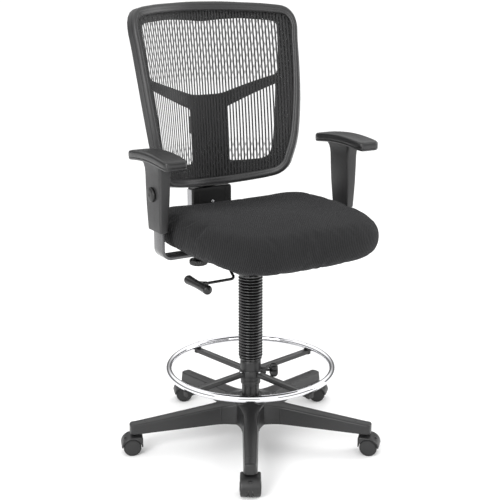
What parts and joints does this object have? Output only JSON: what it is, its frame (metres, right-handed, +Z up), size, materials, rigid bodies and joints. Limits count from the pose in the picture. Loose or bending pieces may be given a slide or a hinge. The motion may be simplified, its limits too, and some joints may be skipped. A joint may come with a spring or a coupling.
{
  "type": "drafting chair",
  "caption": "Tall office drafting chair with mesh back, padded seat, adjustable arms, bellows-covered gas lift, foot ring and wheeled star base.",
  "frame": {"origin": "bottom centre of the whole chair's bounding box, on the floor", "axes": "+Z up along the column, the sitter faces -Y, +X is the sitter's left"},
  "size_m": [0.7444, 0.72, 1.2415],
  "materials": {
    "black_plastic": "fine moulded texture",
    "nylon": "satin moulded nylon",
    "caster_tread": "satin hard tread",
    "bellows_plastic": "satin",
    "black_steel": "semi-gloss black enamel",
    "steel": "ground",
    "zinc": "zinc plated",
    "chrome": "bright plated",
    "seat_fabric": "fine diagonal rib weave",
    "back_mesh": "open vertical weave"
  },
  "bodies": {
    "base": {"star_base": "nylon", "column_tube": "black_steel", "guide_sleeve": "black_plastic", "thrust_bearing": "steel", "bellows": "bellows_plastic"},
    "swivel": {"piston_rod": "steel", "rod_clip": "zinc"},
    "seat": {"gas_cylinder": "black_steel", "mechanism_housing": "black_steel", "lever_bushing": "black_plastic", "seat_pan": "black_plastic", "seat_cushion": "seat_fabric", "back_upright": "black_steel", "upright_cover": "black_plastic"},
    "release_pin": {"release_pin": "zinc"},
    "lever": {"lever_rod": "black_steel", "lever_handle": "black_plastic"},
    "back": {"back_carriage": "black_plastic", "back_shell": "black_plastic", "back_bezel": "black_plastic", "back_mesh": "back_mesh"},
    "footring": {"footring": "chrome", "footring_hub": "nylon", "footring_spoke_1": "black_steel", "footring_spoke_2": "black_steel", "footring_spoke_3": "black_steel", "footring_spoke_4": "black_steel"},
    "footring_knob": {"footring_knob": "black_plastic"},
    "arm_right": {"arm_bar_right": "black_steel", "arm_post_right": "black_plastic"},
    "armrest_right": {"arm_sleeve_right": "black_plastic", "arm_pad_right": "black_plastic"},
    "arm_button_right": {"arm_button_right": "black_plastic"},
    "arm_width_knob_right": {"arm_width_knob_right": "black_plastic"},
    "arm_left": {"arm_bar_left": "black_steel", "arm_post_left": "black_plastic"},
    "armrest_left": {"arm_sleeve_left": "black_plastic", "arm_pad_left": "black_plastic"},
    "arm_button_left": {"arm_button_left": "black_plastic"},
    "arm_width_knob_left": {"arm_width_knob_left": "black_plastic"},
    "caster_1": {"caster_hood_1": "nylon", "caster_stem_1": "zinc"},
    "caster_2": {"caster_hood_2": "nylon", "caster_stem_2": "zinc"},
    "caster_3": {"caster_hood_3": "nylon", "caster_stem_3": "zinc"},
    "caster_4": {"caster_hood_4": "nylon", "caster_stem_4": "zinc"},
    "caster_5": {"caster_hood_5": "nylon", "caster_stem_5": "zinc"},
    "caster_wheel_left_1": {"caster_wheel_left_1": "caster_tread"},
    "caster_wheel_right_1": {"caster_wheel_right_1": "caster_tread"},
    "caster_wheel_left_2": {"caster_wheel_left_2": "caster_tread"},
    "caster_wheel_right_2": {"caster_wheel_right_2": "caster_tread"},
    "caster_wheel_left_3": {"caster_wheel_left_3": "caster_tread"},
    "caster_wheel_right_3": {"caster_wheel_right_3": "caster_tread"},
    "caster_wheel_left_4": {"caster_wheel_left_4": "caster_tread"},
    "caster_wheel_right_4": {"caster_wheel_right_4": "caster_tread"},
    "caster_wheel_left_5": {"caster_wheel_left_5": "caster_tread"},
    "caster_wheel_right_5": {"caster_wheel_right_5": "caster_tread"}
  },
  "joints": [
    {"name": "seat_swivel", "type": "hinge", "parent": "base", "child": "swivel", "pos_m": [0.00958, -0.01669, 0.06], "axis": [0, 0, 1], "continuous": true},
    {"name": "seat_lift", "type": "slide", "parent": "swivel", "child": "seat", "axis": [0, 0, 1], "range_m": [-0.18, 0], "deforming": ["bellows"]},
    {"name": "lever_lift", "type": "hinge", "parent": "seat", "child": "lever", "pos_m": [0.00958, -0.04669, 0.534], "axis": [-1, 0, 0], "range_deg": [0, 7.5], "stiffness_Nm_per_rad": 2, "springref_deg": -11.46},
    {"name": "valve_press", "type": "slide", "parent": "seat", "child": "release_pin", "axis": [0, 0, -1], "range_m": [0, 0.004]},
    {"name": "back_height", "type": "slide", "parent": "seat", "child": "back", "axis": [0, 0, 1], "range_m": [0, 0.06]},
    {"name": "footring_height", "type": "slide", "parent": "base", "child": "footring", "axis": [0, 0, 1], "range_m": [-0.035, 0]},
    {"name": "footring_clamp", "type": "hinge", "parent": "footring", "child": "footring_knob", "pos_m": [0.07069, -0.0465, 0.206], "axis": [0.8988, -0.4384, 0], "range_deg": [-360, 0]},
    {"name": "arm_width_right", "type": "slide", "parent": "seat", "child": "arm_right", "axis": [-1, 0, 0], "range_m": [-0.005, 0.025]},
    {"name": "armrest_height_right", "type": "slide", "parent": "arm_right", "child": "armrest_right", "axis": [0, 0, 1], "range_m": [-0.03, 0.05]},
    {"name": "arm_button_press_right", "type": "slide", "parent": "armrest_right", "child": "arm_button_right", "axis": [1, 0, 0], "range_m": [0, 0.0033], "stiffness_N_per_m": 400, "springref_m": -0.004},
    {"name": "arm_width_clamp_right", "type": "hinge", "parent": "seat", "child": "arm_width_knob_right", "pos_m": [-0.16942, -0.04269, 0.568], "axis": [0, 0, 1], "range_deg": [-360, 0]},
    {"name": "arm_width_left", "type": "slide", "parent": "seat", "child": "arm_left", "axis": [1, 0, 0], "range_m": [-0.005, 0.025]},
    {"name": "armrest_height_left", "type": "slide", "parent": "arm_left", "child": "armrest_left", "axis": [0, 0, 1], "range_m": [-0.03, 0.05]},
    {"name": "arm_button_press_left", "type": "slide", "parent": "armrest_left", "child": "arm_button_left", "axis": [-1, 0, 0], "range_m": [0, 0.0033], "stiffness_N_per_m": 400, "springref_m": -0.004},
    {"name": "arm_width_clamp_left", "type": "hinge", "parent": "seat", "child": "arm_width_knob_left", "pos_m": [0.18858, -0.04269, 0.568], "axis": [0, 0, 1], "range_deg": [-360, 0]},
    {"name": "caster_swivel_1", "type": "hinge", "parent": "base", "child": "caster_1", "pos_m": [-0.16296, -0.30384, 0.06], "axis": [0, 0, 1], "continuous": true},
    {"name": "caster_swivel_2", "type": "hinge", "parent": "base", "child": "caster_2", "pos_m": [0.22936, -0.26951, 0.06], "axis": [0, 0, 1], "continuous": true},
    {"name": "caster_swivel_3", "type": "hinge", "parent": "base", "child": "caster_3", "pos_m": [0.31794, 0.11421, 0.06], "axis": [0, 0, 1], "continuous": true},
    {"name": "caster_swivel_4", "type": "hinge", "parent": "base", "child": "caster_4", "pos_m": [-0.01962, 0.31704, 0.06], "axis": [0, 0, 1], "continuous": true},
    {"name": "caster_swivel_5", "type": "hinge", "parent": "base", "child": "caster_5", "pos_m": [-0.31684, 0.05867, 0.06], "axis": [0, 0, 1], "continuous": true},
    {"name": "caster_roll_left_1", "type": "hinge", "parent": "caster_1", "child": "caster_wheel_left_1", "pos_m": [-0.17275, -0.32012, 0.025], "axis": [0.8572, -0.515, 0], "continuous": true},
    {"name": "caster_roll_right_1", "type": "hinge", "parent": "caster_1", "child": "caster_wheel_right_1", "pos_m": [-0.17275, -0.32012, 0.025], "axis": [0.8572, -0.515, 0], "continuous": true},
    {"name": "caster_roll_left_2", "type": "hinge", "parent": "caster_2", "child": "caster_wheel_left_2", "pos_m": [0.24279, -0.28295, 0.025], "axis": [0.7071, 0.7071, 0], "continuous": true},
    {"name": "caster_roll_right_2", "type": "hinge", "parent": "caster_2", "child": "caster_wheel_right_2", "pos_m": [0.24279, -0.28295, 0.025], "axis": [0.7071, 0.7071, 0], "continuous": true},
    {"name": "caster_roll_left_3", "type": "hinge", "parent": "caster_3", "child": "caster_wheel_left_3", "pos_m": [0.33138, 0.10077, 0.025], "axis": [0.7071, 0.7071, 0], "continuous": true},
    {"name": "caster_roll_right_3", "type": "hinge", "parent": "caster_3", "child": "caster_wheel_right_3", "pos_m": [0.33138, 0.10077, 0.025], "axis": [0.7071, 0.7071, 0], "continuous": true},
    {"name": "caster_roll_left_4", "type": "hinge", "parent": "caster_4", "child": "caster_wheel_left_4", "pos_m": [-0.03748, 0.32354, 0.025], "axis": [-0.342, -0.9397, 0], "continuous": true},
    {"name": "caster_roll_right_4", "type": "hinge", "parent": "caster_4", "child": "caster_wheel_right_4", "pos_m": [-0.03748, 0.32354, 0.025], "axis": [-0.342, -0.9397, 0], "continuous": true},
    {"name": "caster_roll_left_5", "type": "hinge", "parent": "caster_5", "child": "caster_wheel_left_5", "pos_m": [-0.33469, 0.06517, 0.025], "axis": [-0.342, -0.9397, 0], "continuous": true},
    {"name": "caster_roll_right_5", "type": "hinge", "parent": "caster_5", "child": "caster_wheel_right_5", "pos_m": [-0.33469, 0.06517, 0.025], "axis": [-0.342, -0.9397, 0], "continuous": true}
  ],
  "couplings": [
    {"joint": "valve_press", "follows": "lever_lift", "m_per_rad": 0.03}
  ]
}
